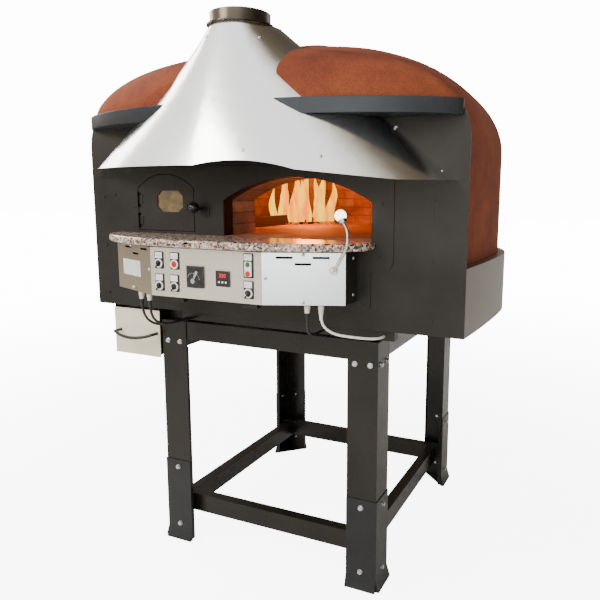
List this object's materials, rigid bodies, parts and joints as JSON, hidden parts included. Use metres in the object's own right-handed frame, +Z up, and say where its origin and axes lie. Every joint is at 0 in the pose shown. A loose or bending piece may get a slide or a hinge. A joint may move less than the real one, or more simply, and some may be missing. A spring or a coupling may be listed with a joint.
{
  "type": "wood fired pizza oven",
  "caption": "Dome pizza oven on a bolted steel stand with half-cone smoke hood, arched mouth, fire door, stone counter, control box, work lamp, ash drawer and a turning stone floor.",
  "frame": {"origin": "on the floor, in the middle of the overall width and depth", "axes": "+X to the right of a cook who faces the mouth, +Y to the back, +Z up"},
  "size_m": [1.42, 1.4778, 1.822],
  "materials": {
    "stand_black": "semi-gloss",
    "sleeve_black": "semi-gloss",
    "zinc_bolts": "bright",
    "dark_steel": "satin",
    "motor_paint": "satin",
    "bearing_bronze": "machined",
    "carrier_steel": "matte",
    "refractory": "matte",
    "insulating_brick": "matte",
    "dome_stucco": "rough plaster",
    "visor_steel": "satin",
    "hood_stainless": "satin",
    "flue_steel": "satin",
    "sight_glass": "clear",
    "latch_black": "gloss",
    "granite": "polished",
    "box_steel": "satin",
    "switch_grey": "satin",
    "selector_black": "gloss",
    "button_red_plastic": "gloss",
    "button_green_plastic": "gloss",
    "instrument_black": "gloss",
    "gland_cream": "satin",
    "cable_black": "matte",
    "cable_white": "matte",
    "lamp_chrome": "polished",
    "lamp_globe": "frosted",
    "drawer_cream": "satin",
    "handle_black": "gloss"
  },
  "bodies": {
    "oven_body": {"base_beams": "stand_black", "base_tray": "dark_steel", "cable_duct": "dark_steel", "cable_glands": "gland_cream", "cable_left_inner": "cable_black", "cable_left_outer": "cable_black", "cable_right_long": "cable_white", "cable_right_short": "cable_black", "centre_panel": "dark_steel", "control_box": "box_steel", "counter_slab": "granite", "cover_screws": "zinc_bolts", "dome_front": "dome_stucco", "dome_shell": "dome_stucco", "door_hinges": "dark_steel", "drawer_runners": "dark_steel", "facade": "dark_steel", "flame_regulator": "instrument_black", "floor_bearing": "bearing_bronze", "flue_collar": "flue_steel", "foot_sleeves": "sleeve_black", "gear_motor": "motor_paint", "hearth": "refractory", "hearth_base": "insulating_brick", "hood_shell": "hood_stainless", "lamp_base": "lamp_chrome", "latch_keeper": "dark_steel", "leg_front_left": "stand_black", "leg_front_right": "stand_black", "leg_rear_left": "stand_black", "leg_rear_right": "stand_black", "lower_rails": "stand_black", "mouth_frames": "refractory", "panel_centre": "box_steel", "panel_left": "box_steel", "panel_right": "box_steel", "refractory_vault": "refractory", "skirt": "dark_steel", "stand_bolts": "zinc_bolts", "switch_bezels": "switch_grey", "temperature_controller": "instrument_black", "upper_rails": "stand_black", "visor": "visor_steel"},
    "turntable": {"turntable": "carrier_steel", "cooking_floor": "refractory"},
    "fire_door": {"door_leaf": "dark_steel", "door_glass": "sight_glass"},
    "latch": {"latch_lever": "latch_black"},
    "ash_drawer": {"drawer_tray": "drawer_cream", "drawer_handle": "handle_black"},
    "work_lamp": {"lamp_neck": "lamp_chrome", "lamp_head": "lamp_globe"},
    "selector_left_top": {"selector_1": "selector_black"},
    "selector_left_low": {"selector_2": "selector_black"},
    "selector_middle": {"selector_3": "selector_black"},
    "selector_right": {"selector_4": "selector_black"},
    "button_red": {"button_red": "button_red_plastic"},
    "button_start": {"button_start": "button_green_plastic"},
    "button_stop": {"button_stop": "button_red_plastic"}
  },
  "joints": [
    {"name": "turntable_spin", "type": "hinge", "parent": "oven_body", "child": "turntable", "pos_m": [0.141, 0.08, 1.105], "axis": [0, 0, 1], "continuous": true},
    {"name": "fire_door_hinge", "type": "hinge", "parent": "oven_body", "child": "fire_door", "pos_m": [-0.47825, -0.4383, 1.262], "axis": [0, 0, -1], "range_deg": [0, 110]},
    {"name": "latch_turn", "type": "hinge", "parent": "fire_door", "child": "latch", "pos_m": [-0.268, -0.433, 1.249], "axis": [0, -1, 0], "range_deg": [0, 60]},
    {"name": "ash_drawer_slide", "type": "slide", "parent": "oven_body", "child": "ash_drawer", "axis": [0, -1, 0], "range_m": [0, 0.34]},
    {"name": "lamp_swivel", "type": "hinge", "parent": "oven_body", "child": "work_lamp", "pos_m": [0.3322, -0.5464, 1.077], "axis": [0.3922, -0.9199, 0], "range_deg": [-30, 0]},
    {"name": "selector_left_top_turn", "type": "hinge", "parent": "oven_body", "child": "selector_left_top", "pos_m": [-0.239, -0.616, 1.078], "axis": [0, -1, 0], "range_deg": [-45, 45]},
    {"name": "selector_left_low_turn", "type": "hinge", "parent": "oven_body", "child": "selector_left_low", "pos_m": [-0.239, -0.616, 1.0076], "axis": [0, -1, 0], "range_deg": [-45, 45]},
    {"name": "selector_middle_turn", "type": "hinge", "parent": "oven_body", "child": "selector_middle", "pos_m": [-0.181, -0.616, 1.0076], "axis": [0, -1, 0], "range_deg": [-45, 45]},
    {"name": "selector_right_turn", "type": "hinge", "parent": "oven_body", "child": "selector_right", "pos_m": [0.0896, -0.616, 1.0057], "axis": [0, -1, 0], "range_deg": [-45, 45]},
    {"name": "button_red_press", "type": "slide", "parent": "oven_body", "child": "button_red", "axis": [0, 1, 0], "range_m": [0, 0.004], "stiffness_N_per_m": 300, "springref_m": -0.004},
    {"name": "button_start_press", "type": "slide", "parent": "oven_body", "child": "button_start", "axis": [0, 1, 0], "range_m": [0, 0.004], "stiffness_N_per_m": 300, "springref_m": -0.004},
    {"name": "button_stop_press", "type": "slide", "parent": "oven_body", "child": "button_stop", "axis": [0, 1, 0], "range_m": [0, 0.004], "stiffness_N_per_m": 300, "springref_m": -0.004}
  ]
}
